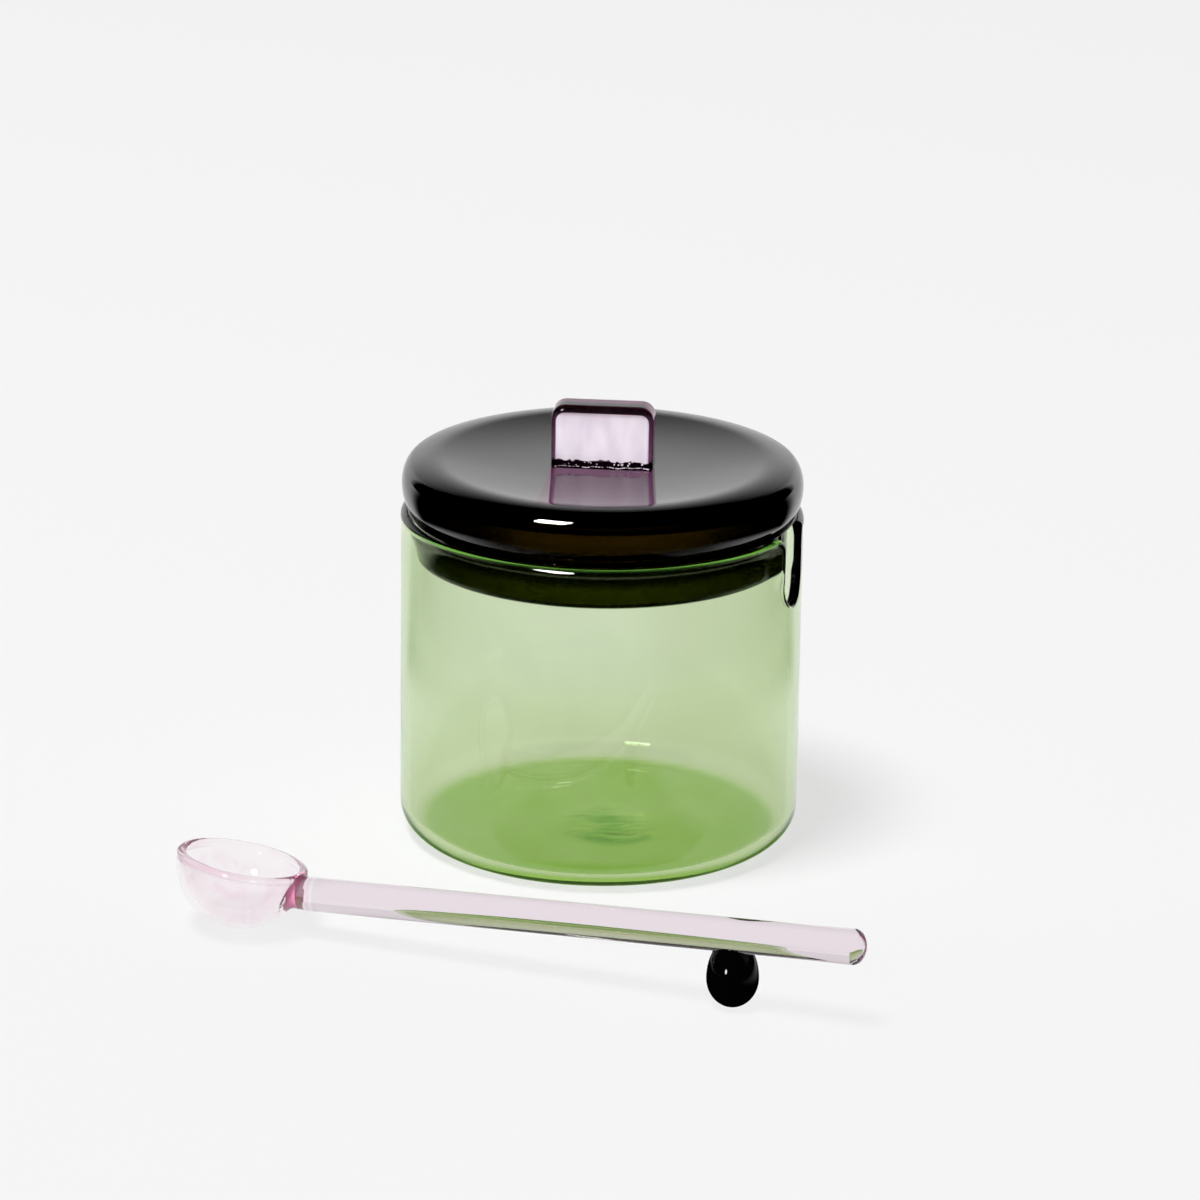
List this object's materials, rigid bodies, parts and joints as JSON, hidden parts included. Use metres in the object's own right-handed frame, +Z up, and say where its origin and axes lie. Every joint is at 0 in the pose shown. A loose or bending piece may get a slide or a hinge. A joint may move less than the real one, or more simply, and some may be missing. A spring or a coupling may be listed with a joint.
{
  "type": "spice bowl",
  "caption": "Round green glass spice jar with a notched rim, a dark dished stopper lid with a lilac block handle, and a long pale pink glass spoon that props on a black bead.",
  "frame": {"origin": "centre of the jar's flat base, on the table", "axes": "+Z up along the jar's axis; -Y is the front, where the spoon lies; +X is to the right seen from the front, with the rim's notch near it"},
  "size_m": [0.1481, 0.1671, 0.0999],
  "materials": {
    "jar_glass": "clear moss-green tube glass, fire-polished rim",
    "lid_glass": "very dark brown glass, near black, glossy",
    "handle_glass": "clear lilac glass block",
    "bowl_glass": "clear very pale pink blown glass",
    "neck_glass": "clear deep pink weld",
    "rod_glass": "clear pale lilac-pink rod",
    "bead_glass": "opaque black glass, glossy"
  },
  "bodies": {
    "jar": {"jar": "jar_glass"},
    "lid": {"lid_shell": "lid_glass", "lid_handle": "handle_glass"},
    "spoon": {"spoon_bowl": "bowl_glass", "spoon_neck": "neck_glass", "spoon_rod": "rod_glass", "spoon_bead": "bead_glass"}
  },
  "joints": [
    {"name": "lid_lift", "type": "slide", "parent": "jar", "child": "lid", "axis": [0, 0, 1], "range_m": [0, 0.06]},
    {"name": "spoon_lift", "type": "slide", "parent": "jar", "child": "spoon", "axis": [0, 0, 1], "range_m": [0, 0.12]}
  ]
}
